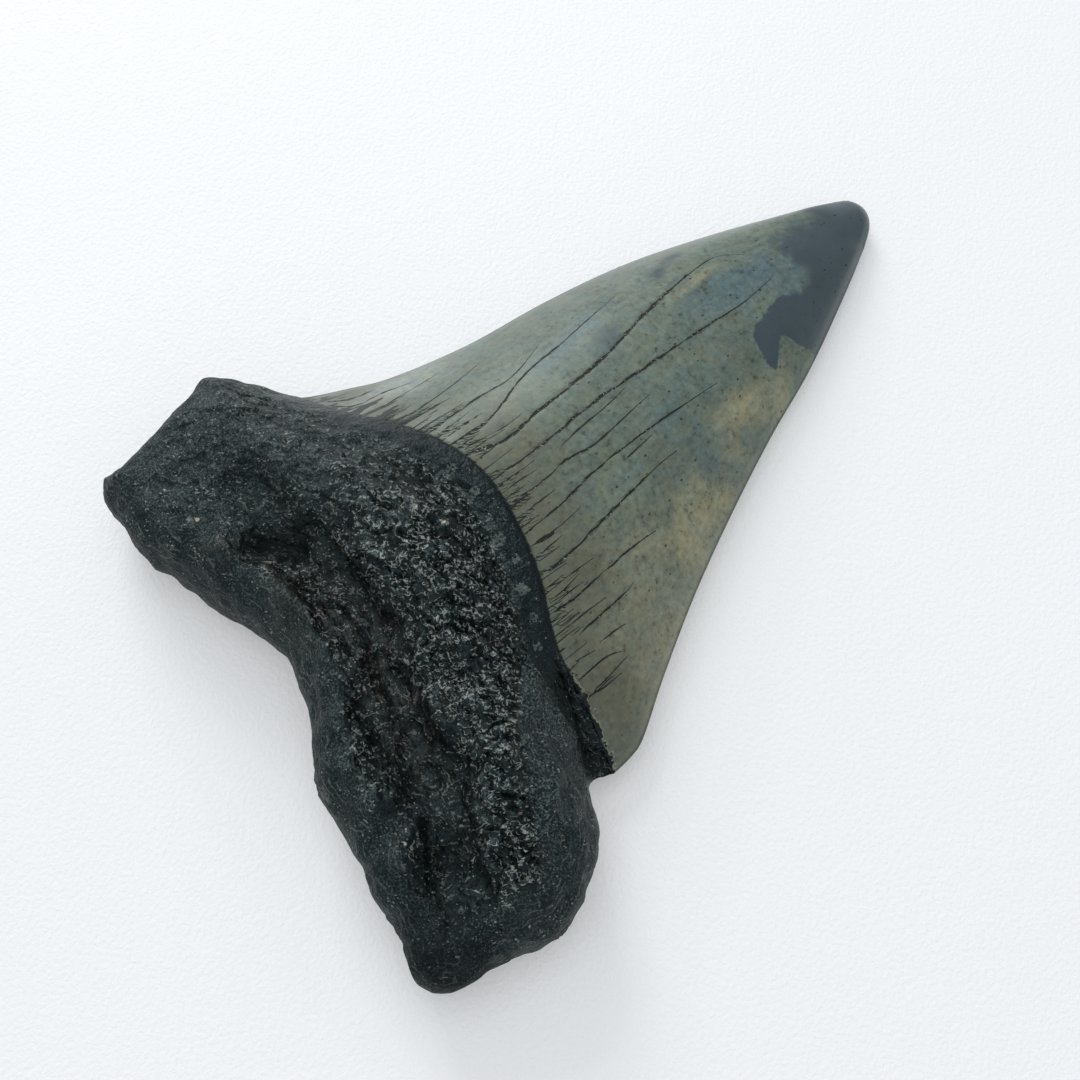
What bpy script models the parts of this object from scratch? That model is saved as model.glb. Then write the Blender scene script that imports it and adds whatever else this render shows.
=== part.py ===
"""Fossil megalodon tooth, lying on its flat labial face with the bulging lingual face up.

Frame: +Z is up, +Y runs from the root to the tip of the crown and +X across the root.  The
origin is under the middle of the tooth, on the surface that it lies on.  All the lengths here
are in millimetres, and they become metres when the mesh is made.
"""
import bmesh
import bpy
import numpy as np
from mathutils import Vector, noise

METRES = 0.001

# Driving dimensions
ROOT_WIDTH = 68.0            # over both lobes
RIGHT_REACH = 34.8           # end of the right lobe from the line that the crown is laid out on
TOOTH_HEIGHT = 89.8          # basal edge to tip, seen from above
ROOT_THICKNESS = 17.0        # at the crest of the lingual bulge
NECK_THICKNESS = 12.7        # middle of the crown, where its enamel starts
LOBE_THICKNESS = 10.4        # end of each root lobe
VALLEY_THICKNESS = 12.3      # middle of the root, between its bulge and its basal rim

# Sizes that follow from them
HALF_WIDTH = ROOT_WIDTH / 2
LEFT_REACH = ROOT_WIDTH - RIGHT_REACH
HALF_HEIGHT = TOOTH_HEIGHT / 2
ROOT_EDGE_HEIGHT = 0.30 * ROOT_THICKNESS      # widest line of the root, above the rest plane
FOOT_EDGE_HEIGHT = 0.26 * NECK_THICKNESS      # cutting edge at the crown's feet
TIP_EDGE_HEIGHT = 0.15 * NECK_THICKNESS       # cutting edge at the tip
ENAMEL_STEP = 0.045 * NECK_THICKNESS          # the root stands proud of the enamel by this
TIP_RADIUS = 2 * TIP_EDGE_HEIGHT              # length over which the tip rounds off
LABIAL_CLEARANCE = 0.3                        # labial face above the rest plane, off its flats

# Outline in plan, from the left lobe round to the right, with the tip at +Y
BASAL_EDGE = [
    (-29.3, -42.9), (-27.7, -43.9), (-24.8, -43.8), (-20.2, -43.8), (-16.3, -42.3),
    (-11.5, -40.7), (-7.0, -39.1), (-3.0, -37.9), (0.7, -38.2), (4.6, -39.4), (8.0, -41.3),
    (11.5, -43.0), (17.0, -42.9), (22.4, -44.0), (25.8, -43.8), (28.0, -44.3),
    (30.0, -HALF_HEIGHT), (32.0, -44.1),
]
ROOT_LEFT_SIDE = [
    (-29.3, -42.9), (-29.5, -40.2), (-30.3, -37.2), (-31.2, -34.3), (-32.1, -31.3),
    (-LEFT_REACH, -28.8), (-32.1, -26.4), (-30.4, -24.4), (-27.6, -20.7),
]
ROOT_RIGHT_SIDE = [
    (32.0, -44.1), (33.3, -42.8), (33.8, -41.0), (33.6, -39.0), (34.0, -36.0),
    (RIGHT_REACH, -32.6), (34.0, -29.3), (32.4, -26.5), (29.6, -23.5), (26.2, -22.0),
    (24.4, -21.0), (25.0, -18.4),
]
CROWN_LEFT_EDGE = [
    (-27.6, -20.7), (-25.9, -16.2), (-24.3, -11.4), (-23.0, -2.4), (-22.7, 7.6),
    (-21.7, 17.7), (-19.5, 27.6), (-16.7, 37.2), (-15.6, 40.4), (-14.8, 42.8),
]
CROWN_RIGHT_EDGE = [
    (25.0, -18.4), (24.6, -16.0), (23.7, -13.8), (19.8, -8.3), (14.6, -0.3), (9.8, 8.1),
    (5.1, 17.1), (0.8, 26.3), (-4.7, 36.1), (-8.0, 41.5),
]
TIP_ARC = [
    (-14.8, 42.8), (-14.0, 44.2), (-12.6, HALF_HEIGHT), (-11.1, 44.7), (-9.6, 43.6), (-8.0, 41.5),
]

# Where the enamel starts, on each face
LINGUAL_ENAMEL_LINE = [
    (-27.6, -20.7), (-22.1, -19.2), (-16.4, -16.4), (-10.5, -13.7), (-5.4, -12.5),
    (-0.1, -12.7), (6.7, -14.2), (13.3, -16.8), (18.7, -17.3), (25.0, -18.4),
]
LABIAL_ENAMEL_LINE = [
    (-27.6, -20.7), (-19.0, -21.8), (-9.0, -20.6), (0.0, -20.0), (9.0, -20.8), (18.0, -21.4),
    (25.0, -18.4),
]

# Relief of the lingual face of the root, as lines in plan
BULGE_CREST = [
    (-29.0, -31.6), (-21.7, -28.9), (-13.3, -24.8), (-3.9, -22.0), (6.0, -22.6),
    (15.3, -24.8), (23.4, -28.1), (30.5, -32.0),
]
VALLEY_FLOOR = [
    (-17.5, -32.4), (-12.0, -31.4), (-4.1, -30.7), (3.4, -30.9), (9.0, -32.2), (14.2, -33.8),
    (20.0, -35.5), (23.9, -37.0), (27.8, -39.8),
]
SCARP_EDGE = [
    (-3.0, -28.6), (4.0, -28.6), (9.5, -30.6), (15.6, -30.9), (20.5, -31.4), (25.2, -34.0),
    (29.4, -35.4),
]
UPPER_LEDGE = [(1.6, -27.9), (4.8, -27.0), (8.0, -27.2), (10.4, -25.8)]
SHOULDER_EDGE = [
    (15.6, -22.6), (17.6, -24.3), (21.2, -26.4), (24.9, -28.3), (28.8, -29.9), (31.6, -32.0),
]
HOLLOW_SLIT = [(-11.8, -34.2), (-9.2, -31.9)]
FOOT_CHIP = [(16.4, -17.8), (19.8, -18.6), (24.0, -19.6)]

# Lumps along the basal rim of the root: place and radius
RIM_LUMPS = [
    ((-5.1, -35.1), 2.0), ((-1.6, -35.0), 1.7), ((1.8, -34.9), 1.5), ((8.0, -37.4), 1.6),
    ((12.1, -38.7), 1.9), ((15.9, -39.3), 1.5), ((21.4, -39.5), 1.9), ((-13.5, -37.4), 1.6),
]
RIM_LUMP_HEIGHT = 0.9

# Roughness of the root: size and height of its lumps, and spacing and depth of its pits
COARSE_LUMP_SIZE, COARSE_LUMP_HEIGHT = 4.8, 0.75
FINE_LUMP_SIZE, FINE_LUMP_HEIGHT = 2.3, 0.65
PIT_SPACING, PIT_DEPTH = 1.9, 0.5

# Flats that the tooth rests on: middle and radius of each
REST_FLATS = [((-1.5, -11.0), 6.5), ((-25.5, -32.0), 4.0), ((25.5, -33.0), 4.0), ((-8.5, 21.0), 4.0)]
FLAT_DEPTH = 1.0

# Grid over each face
COLUMNS = 44
ROOT_ROWS = 22
CROWN_ROWS = 30
CURVE_SAMPLES = 400


def smooth_curve(points, samples=CURVE_SAMPLES):
    """Catmull-Rom curve through the points, sampled at even steps of length."""
    knots = np.array(points, float)
    ends = np.vstack([2 * knots[0] - knots[1], knots, 2 * knots[-1] - knots[-2]])
    steps = np.linspace(0, 1, 24, endpoint=False)[:, None]
    pieces = []
    for a, b, c, d in zip(ends[:-3], ends[1:-2], ends[2:-1], ends[3:]):
        pieces.append(0.5 * (2 * b + (c - a) * steps + (2 * a - 5 * b + 4 * c - d) * steps ** 2
                             + (3 * b - a - 3 * c + d) * steps ** 3))
    path = np.vstack(pieces + [knots[-1:]])
    length = np.concatenate([[0], np.cumsum(np.linalg.norm(np.diff(path, axis=0), axis=1))])
    even = np.linspace(0, length[-1], samples + 1)
    return np.stack([np.interp(even, length, path[:, axis]) for axis in (0, 1)], axis=1)


def at(path, share):
    """Points at the given shares of a path's length."""
    place = np.asarray(share) * (len(path) - 1)
    index = np.arange(len(path))
    return np.stack([np.interp(place, index, path[:, axis]) for axis in (0, 1)], axis=-1)


def distance(plan, path):
    """Signed distance from each plan point to a path: positive on the path's left."""
    start, run = path[:-1], np.diff(path, axis=0)
    best = np.full(len(plan), np.inf)
    side = np.ones(len(plan))
    for origin, step in zip(start, run):
        offset = plan - origin
        along = np.clip(offset @ step / (step @ step), 0, 1)
        gap = np.hypot(*(offset - along[:, None] * step).T)
        closer = gap < best
        best[closer] = gap[closer]
        turn = step[0] * offset[:, 1] - step[1] * offset[:, 0]
        side[closer] = np.where(turn[closer] < 0, -1, 1)
    return best * side


def smoothstep(value, low, high):
    share = np.clip((value - low) / (high - low), 0, 1)
    return share * share * (3 - 2 * share)


def rounded(share, fullness):
    """Profile of a rounded edge: 0 at the edge, 1 from one radius in."""
    inward = 1 - np.clip(share, 0, 1)
    return (1 - inward ** fullness) ** (1 / fullness)


def patch(bottom, top, left, right, shares_across, shares_up):
    """Coons patch of plan points between four paths, one row for each share up."""
    across = shares_across[None, :, None]
    up = shares_up[:, None, None]
    low, high = at(bottom, shares_across)[None], at(top, shares_across)[None]
    near, far = at(left, shares_up)[:, None], at(right, shares_up)[:, None]
    corners = ((1 - up) * ((1 - across) * bottom[0] + across * bottom[-1])
               + up * ((1 - across) * top[0] + across * top[-1]))
    return (1 - up) * low + up * high + (1 - across) * near + across * far - corners


def edge_height(y):
    """Height of the outline above the rest plane."""
    crown = np.interp(y, [-20, HALF_HEIGHT], [FOOT_EDGE_HEIGHT, TIP_EDGE_HEIGHT])
    return crown + (ROOT_EDGE_HEIGHT - crown) * smoothstep(-y, 19.0, 26.0)


def crown_crest(y):
    """Height of the lingual face along the middle of the crown."""
    return NECK_THICKNESS * np.interp(
        y, [-20, -12, 0, 10, 20, 30, 38, HALF_HEIGHT], [1.03, 1.0, 0.9, 0.79, 0.66, 0.5, 0.36, 0.25])


def near(plan, points, reach):
    """1 on the line through the points, falling off to 0 beyond the reach to each side."""
    return np.exp(-(distance(plan, smooth_curve(points)) / reach) ** 2)


def ledge(plan, points, height, rise, reach):
    """A step up to the left of the line through the points, which fades out beyond its reach."""
    away = distance(plan, smooth_curve(points))
    return height * np.clip(away / rise, -1, 1) * np.exp(-(away / reach) ** 2)


def plateau(plan):
    """Height of the lingual face of the root, before its sides are rounded off."""
    x = plan[:, 0]
    height = VALLEY_THICKNESS - (VALLEY_THICKNESS - LOBE_THICKNESS) * (x / HALF_WIDTH) ** 2
    swell = np.interp(x, [-31, -14, 1, 17, 31], [0.30, 0.66, 1.0, 0.74, 0.30])
    crest = distance(plan, smooth_curve(BULGE_CREST))
    reach = np.where(crest > 0, 8.0, 5.6)
    height += (ROOT_THICKNESS - VALLEY_THICKNESS) * swell * np.exp(-(crest / reach) ** 2)
    height -= 1.4 * near(plan, VALLEY_FLOOR, 2.3)
    height += ledge(plan, SCARP_EDGE, 0.6, 0.8, 3.0)
    height += ledge(plan, UPPER_LEDGE, 0.3, 0.7, 1.8)
    height -= ledge(plan, SHOULDER_EDGE, 0.3, 0.8, 2.4)
    height -= 1.9 * near(plan, HOLLOW_SLIT, 1.5)
    for place, radius in RIM_LUMPS:
        away = np.hypot(*(plan - place).T)
        height += RIM_LUMP_HEIGHT * np.exp(-(away / radius) ** 2)
    return height


def crown_arch(across):
    """Lens section of the lingual face of the crown: 0 at the cutting edges, 1 in the middle."""
    return 1 - np.abs(across) ** 2.2


def crown_heel(across):
    """Section of the labial face of the crown: 1 at the cutting edges, 0 in the middle."""
    return np.abs(across) ** 1.8


def lingual_face(root, crown, across, outline, tip):
    """Heights of the lingual face over the root and crown grids, and how rough each point is."""
    line = smooth_curve(LINGUAL_ENAMEL_LINE)
    x, y = root.T
    low = edge_height(y)
    radius = np.interp(x, [-HALF_WIDTH, -20, 0, 20, HALF_WIDTH], [8.0, 6.0, 4.6, 5.4, 7.0])
    inward = np.abs(distance(root, outline))
    side = rounded(inward / radius, 2.6)
    behind = np.abs(distance(root, line))
    step = ENAMEL_STEP * smoothstep(behind, 0.0, 0.5) * side
    neck = low + (crown_crest(y) - low) * crown_arch(across[:len(root)]) + step
    face = low + (plateau(root) - low) * side
    root_height = neck + (face - neck) * smoothstep(behind, 0.0, 10.0)
    root_height -= 0.9 * near(root, FOOT_CHIP, 1.3) * side
    smooth_lobe = np.interp(x, [-26, -12, -4], [0.35, 0.6, 1.0])
    rough = smooth_lobe * smoothstep(behind, 0.6, 3.4) * (0.45 + 0.55 * smoothstep(inward, 1.0, 4.0))

    low = edge_height(crown[:, 1])
    nose = rounded(np.abs(distance(crown, tip)) / TIP_RADIUS, 2.0)
    arch = crown_arch(across[:len(crown)])
    crown_height = low + (crown_crest(crown[:, 1]) - low) * arch * nose
    return root_height, crown_height, rough


def labial_face(root, crown, across, outline, tip):
    """Heights of the labial face over the root and crown grids, and how rough each point is."""
    line = smooth_curve(LABIAL_ENAMEL_LINE)
    x, y = root.T
    low = edge_height(y)
    side = rounded(np.abs(distance(root, outline)) / 5.0, 2.2)
    hollow = 2 * LABIAL_CLEARANCE + 1.1 * np.exp(-((x / 15) ** 2 + ((y + 33) / 9) ** 2))
    behind = np.abs(distance(root, line))
    heel = LABIAL_CLEARANCE + (low - LABIAL_CLEARANCE) * crown_heel(across[:len(root)])
    root_height = heel + (low + (hollow - low) * side - heel) * smoothstep(behind, 0.0, 7.0)
    rough = 0.5 * smoothstep(behind, 0.3, 3.0)

    low = edge_height(crown[:, 1])
    nose = rounded(np.abs(distance(crown, tip)) / TIP_RADIUS, 2.0)
    heel = 1 - (1 - crown_heel(across[:len(crown)])) * nose
    crown_height = LABIAL_CLEARANCE + (low - LABIAL_CLEARANCE) * heel
    return root_height, crown_height, rough


def lumps(point):
    """Rough relief of the root at a point, along its surface normal."""
    coarse = COARSE_LUMP_HEIGHT * noise.noise(point / COARSE_LUMP_SIZE)
    fine = FINE_LUMP_HEIGHT * noise.noise(point / FINE_LUMP_SIZE)
    pits = PIT_DEPTH * (abs(noise.noise(point / PIT_SPACING)) - 0.25)
    return coarse + fine - pits


def make_material(name, colour, roughness):
    material = bpy.data.materials.new(name)
    material.use_nodes = True
    shader = material.node_tree.nodes["Principled BSDF"]
    shader.inputs["Base Color"].default_value = (*colour, 1.0)
    shader.inputs["Roughness"].default_value = roughness
    shader.inputs["Metallic"].default_value = 0.0
    return material


def make_tooth():
    """The whole tooth as one closed mesh: a lingual and a labial grid that share the outline."""
    # Columns crowd towards both sides, root rows towards the basal edge
    even = np.linspace(0, 1, COLUMNS + 1)
    shares_across = even - 0.4 * np.sin(2 * np.pi * even) / (2 * np.pi)
    even = np.linspace(0, 1, ROOT_ROWS)
    step_row = 0.978
    root_shares = np.append(step_row * (even - 0.45 * np.sin(np.pi * even) / np.pi), 1.0)
    crown_shares = np.linspace(0, 1, CROWN_ROWS + 1)

    basal, left, right = (smooth_curve(p) for p in (BASAL_EDGE, ROOT_LEFT_SIDE, ROOT_RIGHT_SIDE))
    crown_left, crown_right, tip = (
        smooth_curve(p) for p in (CROWN_LEFT_EDGE, CROWN_RIGHT_EDGE, TIP_ARC))
    outline = np.vstack([left[::-1], basal[1:], right[1:]])[::4]

    width = COLUMNS + 1
    across = np.tile(2 * shares_across - 1, max(len(root_shares), len(crown_shares)))
    faces = []
    for enamel_line, shape in ((LINGUAL_ENAMEL_LINE, lingual_face), (LABIAL_ENAMEL_LINE, labial_face)):
        line = smooth_curve(enamel_line)
        root = patch(basal, line, left, right, shares_across, root_shares).reshape(-1, 2)
        crown = patch(line, tip, crown_left, crown_right, shares_across, crown_shares).reshape(-1, 2)
        root_height, crown_height, root_rough = shape(root, crown, across, outline, tip[::8])
        # The crown's first row is the root's last
        plan = np.vstack([root, crown[width:]])
        height = np.concatenate([root_height, crown_height[width:]])
        rough = np.concatenate([root_rough, np.zeros(len(crown) - width)])
        faces.append((np.column_stack([plan, height]).reshape(-1, width, 3), rough.reshape(-1, width)))

    mesh = bmesh.new()
    (lingual, lingual_rough), (labial, labial_rough) = faces
    rows = len(lingual)
    top = [[mesh.verts.new(point) for point in row] for row in lingual]
    bottom = []
    for r in range(rows):
        end_row = r in (0, rows - 1)
        bottom.append([top[r][c] if end_row or c in (0, COLUMNS) else mesh.verts.new(labial[r][c])
                       for c in range(width)])
    for r in range(rows - 1):
        for c in range(COLUMNS):
            corners = ((r, c), (r, c + 1), (r + 1, c + 1), (r + 1, c))
            for grid, order in ((top, corners), (bottom, corners[::-1])):
                face = mesh.faces.new([grid[row][column] for row, column in order])
                face.material_index = 0 if r < ROOT_ROWS else 1
    mesh.normal_update()
    roughen(top, lingual_rough)
    labial_inner = [row[1:-1] for row in bottom[1:-1]]
    roughen(labial_inner, labial_rough[1:-1, 1:-1])
    rest_on_flats(labial_inner)
    centre(mesh)

    data = bpy.data.meshes.new("tooth")
    for vertex in mesh.verts:
        vertex.co *= METRES
    mesh.to_mesh(data)
    mesh.free()
    data.materials.append(make_material("black_root", (0.012, 0.013, 0.016), 0.42))
    data.materials.append(make_material("grey_green_enamel", (0.145, 0.15, 0.12), 0.34))
    data.shade_smooth()
    tooth = bpy.data.objects.new("tooth", data)
    bpy.context.scene.collection.objects.link(tooth)
    return tooth


def roughen(grid, rough):
    """Push a face's points in and out along their normals by its roughness."""
    for row, row_rough in zip(grid, rough):
        moves = [vertex.normal * amount * lumps(vertex.co) for vertex, amount in zip(row, row_rough)]
        for vertex, move in zip(row, moves):
            vertex.co += move


def rest_on_flats(grid):
    """Cut the flats into the labial face, all at height 0."""
    for row in grid:
        for vertex in row:
            for middle, radius in REST_FLATS:
                away = (vertex.co.xy - Vector(middle)).length / radius
                vertex.co.z -= FLAT_DEPTH * np.exp(-away ** 2)
            vertex.co.z = max(vertex.co.z, 0.0)


def centre(mesh):
    """Put the middle of the bounding box over the origin."""
    for axis in (0, 1):
        places = [vertex.co[axis] for vertex in mesh.verts]
        middle = (min(places) + max(places)) / 2
        for vertex in mesh.verts:
            vertex.co[axis] -= middle


for item in list(bpy.data.objects):
    bpy.data.objects.remove(item, do_unlink=True)
make_tooth()
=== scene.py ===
"""Looks of the fossil megalodon tooth: a fine mesh in place of its solid, and a surface for it.

The tooth lies on its labial face: +Z is up, +Y runs from root to tip and +X across the root.
Its shape is worked out in millimetres, which become metres when the mesh is made.
"""
import math

import bpy
import numpy as np
from mathutils import Matrix, Vector, noise


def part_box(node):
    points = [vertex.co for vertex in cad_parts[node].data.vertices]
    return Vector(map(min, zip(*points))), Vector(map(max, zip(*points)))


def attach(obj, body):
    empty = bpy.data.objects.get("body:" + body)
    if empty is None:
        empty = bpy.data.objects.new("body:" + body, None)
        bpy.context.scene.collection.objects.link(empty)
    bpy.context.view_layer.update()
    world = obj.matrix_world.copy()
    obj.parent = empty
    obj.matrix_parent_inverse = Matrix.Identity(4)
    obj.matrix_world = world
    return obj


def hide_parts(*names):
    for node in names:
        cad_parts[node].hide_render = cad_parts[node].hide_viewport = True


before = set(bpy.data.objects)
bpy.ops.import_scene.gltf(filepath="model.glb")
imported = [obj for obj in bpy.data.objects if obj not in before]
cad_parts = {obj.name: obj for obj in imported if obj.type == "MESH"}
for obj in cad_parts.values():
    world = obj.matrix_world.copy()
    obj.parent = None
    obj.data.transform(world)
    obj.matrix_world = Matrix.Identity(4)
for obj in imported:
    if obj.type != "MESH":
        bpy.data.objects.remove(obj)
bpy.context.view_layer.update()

METRES = 0.001

# ------------ the shape, as the solid has it

# Driving dimensions
ROOT_WIDTH = 68.0            # over both lobes
RIGHT_REACH = 34.8           # end of the right lobe from the line that the crown is laid out on
TOOTH_HEIGHT = 89.8          # basal edge to tip, seen from above
ROOT_THICKNESS = 17.0        # at the crest of the lingual bulge
NECK_THICKNESS = 12.7        # middle of the crown, where its enamel starts
LOBE_THICKNESS = 10.4        # end of each root lobe
VALLEY_THICKNESS = 12.3      # middle of the root, between its bulge and its basal rim

# Sizes that follow from them
HALF_WIDTH = ROOT_WIDTH / 2
LEFT_REACH = ROOT_WIDTH - RIGHT_REACH
HALF_HEIGHT = TOOTH_HEIGHT / 2
ROOT_EDGE_HEIGHT = 0.30 * ROOT_THICKNESS      # widest line of the root, above the rest plane
FOOT_EDGE_HEIGHT = 0.26 * NECK_THICKNESS      # cutting edge at the crown's feet
TIP_EDGE_HEIGHT = 0.15 * NECK_THICKNESS       # cutting edge at the tip
ENAMEL_STEP = 0.045 * NECK_THICKNESS          # the root stands proud of the enamel by this
TIP_RADIUS = 2 * TIP_EDGE_HEIGHT              # length over which the tip rounds off
LABIAL_CLEARANCE = 0.3                        # labial face above the rest plane, off its flats

# Outline in plan, from the left lobe round to the right, with the tip at +Y
BASAL_EDGE = [
    (-29.3, -42.9), (-27.7, -43.9), (-24.8, -43.8), (-20.2, -43.8), (-16.3, -42.3),
    (-11.5, -40.7), (-7.0, -39.1), (-3.0, -37.9), (0.7, -38.2), (4.6, -39.4), (8.0, -41.3),
    (11.5, -43.0), (17.0, -42.9), (22.4, -44.0), (25.8, -43.8), (28.0, -44.3),
    (30.0, -HALF_HEIGHT), (32.0, -44.1),
]
ROOT_LEFT_SIDE = [
    (-29.3, -42.9), (-29.5, -40.2), (-30.3, -37.2), (-31.2, -34.3), (-32.1, -31.3),
    (-LEFT_REACH, -28.8), (-32.1, -26.4), (-30.4, -24.4), (-27.6, -20.7),
]
ROOT_RIGHT_SIDE = [
    (32.0, -44.1), (33.3, -42.8), (33.8, -41.0), (33.6, -39.0), (34.0, -36.0),
    (RIGHT_REACH, -32.6), (34.0, -29.3), (32.4, -26.5), (29.6, -23.5), (26.2, -22.0),
    (24.4, -21.0), (25.0, -18.4),
]
CROWN_LEFT_EDGE = [
    (-27.6, -20.7), (-25.9, -16.2), (-24.3, -11.4), (-23.0, -2.4), (-22.7, 7.6),
    (-21.7, 17.7), (-19.5, 27.6), (-16.7, 37.2), (-15.6, 40.4), (-14.8, 42.8),
]
CROWN_RIGHT_EDGE = [
    (25.0, -18.4), (24.6, -16.0), (23.7, -13.8), (19.8, -8.3), (14.6, -0.3), (9.8, 8.1),
    (5.1, 17.1), (0.8, 26.3), (-4.7, 36.1), (-8.0, 41.5),
]
TIP_ARC = [
    (-14.8, 42.8), (-14.0, 44.2), (-12.6, HALF_HEIGHT), (-11.1, 44.7), (-9.6, 43.6), (-8.0, 41.5),
]

# Where the enamel starts, on each face
LINGUAL_ENAMEL_LINE = [
    (-27.6, -20.7), (-22.1, -19.2), (-16.4, -16.4), (-10.5, -13.7), (-5.4, -12.5),
    (-0.1, -12.7), (6.7, -14.2), (13.3, -16.8), (18.7, -17.3), (25.0, -18.4),
]
LABIAL_ENAMEL_LINE = [
    (-27.6, -20.7), (-19.0, -21.8), (-9.0, -20.6), (0.0, -20.0), (9.0, -20.8), (18.0, -21.4),
    (25.0, -18.4),
]

# Relief of the lingual face of the root, as lines in plan
BULGE_CREST = [
    (-29.0, -31.6), (-21.7, -28.9), (-13.3, -24.8), (-3.9, -22.0), (6.0, -22.6),
    (15.3, -24.8), (23.4, -28.1), (30.5, -32.0),
]
VALLEY_FLOOR = [
    (-17.5, -32.4), (-12.0, -31.4), (-4.1, -30.7), (3.4, -30.9), (9.0, -32.2), (14.2, -33.8),
    (20.0, -35.5), (23.9, -37.0), (27.8, -39.8),
]
SCARP_EDGE = [
    (-3.0, -28.6), (4.0, -28.6), (9.5, -30.6), (15.6, -30.9), (20.5, -31.4), (25.2, -34.0),
    (29.4, -35.4),
]
UPPER_LEDGE = [(1.6, -27.9), (4.8, -27.0), (8.0, -27.2), (10.4, -25.8)]
SHOULDER_EDGE = [
    (15.6, -22.6), (17.6, -24.3), (21.2, -26.4), (24.9, -28.3), (28.8, -29.9), (31.6, -32.0),
]
HOLLOW_SLIT = [(-11.8, -34.2), (-9.2, -31.9)]
FOOT_CHIP = [(16.4, -17.8), (19.8, -18.6), (24.0, -19.6)]

# Lumps along the basal rim of the root: place and radius
RIM_LUMPS = [
    ((-5.1, -35.1), 2.0), ((-1.6, -35.0), 1.7), ((1.8, -34.9), 1.5), ((8.0, -37.4), 1.6),
    ((12.1, -38.7), 1.9), ((15.9, -39.3), 1.5), ((21.4, -39.5), 1.9), ((-13.5, -37.4), 1.6),
]
RIM_LUMP_HEIGHT = 0.9

# Roughness of the root: size and height of its lumps, and spacing and depth of its pits
COARSE_LUMP_SIZE, COARSE_LUMP_HEIGHT = 4.8, 0.75
FINE_LUMP_SIZE, FINE_LUMP_HEIGHT = 2.3, 0.65
PIT_SPACING, PIT_DEPTH = 1.9, 0.5

# Flats that the tooth rests on: middle and radius of each
REST_FLATS = [((-1.5, -11.0), 6.5), ((-25.5, -32.0), 4.0), ((25.5, -33.0), 4.0), ((-8.5, 21.0), 4.0)]
FLAT_DEPTH = 1.0

# ------------ finer than the solid

# Grid over the lingual face; the labial face takes every second line of it
COLUMNS = 280
ROOT_ROWS = 144
CROWN_ROWS = 120
STRIDE = 2

# Cracks in the enamel, from its edge towards the tip: half width, then points in plan
CRACKS = [
    (0.05, [(-19.0, -15.7), (-19.8, -11.3), (-20.2, -7.7)]),
    (0.06, [(-16.1, -16.2), (-15.9, -13.6), (-16.9, -8.4), (-18.1, -4.1)]),
    (0.09, [(-12.7, -15.9), (-12.7, -12.0), (-13.3, -7.3), (-13.6, -2.8), (-15.7, 1.9)]),
    (0.05, [(-11.2, -13.6), (-11.1, -11.1), (-11.2, -8.5)]),
    (0.09, [(-9.5, -12.9), (-10.0, -8.3), (-12.9, -1.9), (-14.1, 3.4), (-15.4, 8.4), (-16.5, 12.7)]),
    (0.06, [(-8.4, -12.5), (-8.3, -7.8), (-8.7, -5.0)]),
    (0.17, [(-7.6, -12.8), (-6.9, -8.5), (-7.8, -4.5), (-8.6, 0.4), (-9.7, 5.8), (-12.4, 14.2),
            (-14.2, 21.4), (-14.5, 24.9), (-13.0, 27.6)]),
    (0.14, [(-3.7, -11.8), (-4.6, -4.2), (-5.5, 0.5), (-6.3, 8.8), (-7.2, 18.1), (-7.6, 22.8),
            (-8.8, 28.0)]),
    (0.05, [(-2.6, -12.2), (-3.3, -7.5)]),
    (0.06, [(-3.2, -4.3), (-3.9, -1.2), (-4.6, 2.6), (-5.4, 5.4)]),
    (0.10, [(-0.1, -12.7), (-1.0, -7.7), (-1.6, -4.8), (-1.5, -1.3), (-2.8, 4.3), (-3.4, 7.2)]),
    (0.05, [(1.1, -12.2), (0.6, -9.2)]),
    (0.10, [(2.9, -12.9), (2.2, -8.4), (1.2, -4.5), (0.5, -0.7), (-0.2, 4.6), (-0.8, 10.4),
            (-1.2, 14.2)]),
    (0.06, [(4.2, -13.2), (4.4, -11.1), (3.4, -6.8)]),
    (0.06, [(1.4, 0.3), (0.5, 4.3)]),
    (0.05, [(5.2, -13.1), (5.1, -10.7)]),
    (0.10, [(7.2, -13.6), (6.6, -9.6), (5.4, -5.1), (4.7, -2.2), (3.4, 3.0), (2.9, 5.8)]),
    (0.06, [(9.5, -14.8), (9.4, -13.2), (8.8, -10.7)]),
    (0.09, [(10.6, -15.2), (10.6, -12.9), (9.6, -7.8), (9.0, -4.9), (8.5, -1.0)]),
    (0.05, [(12.0, -15.6), (11.8, -12.9)]),
    (0.10, [(13.5, -14.4), (13.1, -11.9), (12.3, -8.0), (11.7, -6.3)]),
    (0.06, [(15.0, -12.9), (14.6, -9.3)]),
    (0.04, [(15.3, -16.3), (15.4, -13.6)]),
    (0.07, [(16.8, -16.5), (16.6, -14.9), (16.4, -12.7), (16.7, -10.9)]),
    (0.05, [(18.2, -15.6), (18.0, -14.2), (17.2, -11.2)]),
    (0.07, [(18.5, -16.7), (18.5, -14.6), (18.2, -12.6)]),
    (0.08, [(-22.8, -18.8), (-21.5, -17.2), (-21.6, -13.7), (-21.0, -9.7)]),
    (0.08, [(-24.6, -19.1), (-23.4, -17.5), (-22.9, -15.4)]),
]
CRACK_GROOVE, WIDEST_CRACK = 0.04, 0.15       # depth of a crack of this half width
GROOVE_REACH = 0.25
CRACK_TAPER = 0.35           # share of a crack's length over which it thins out at its end
FAR = 9.0                    # stands for every distance that no longer matters

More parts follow.
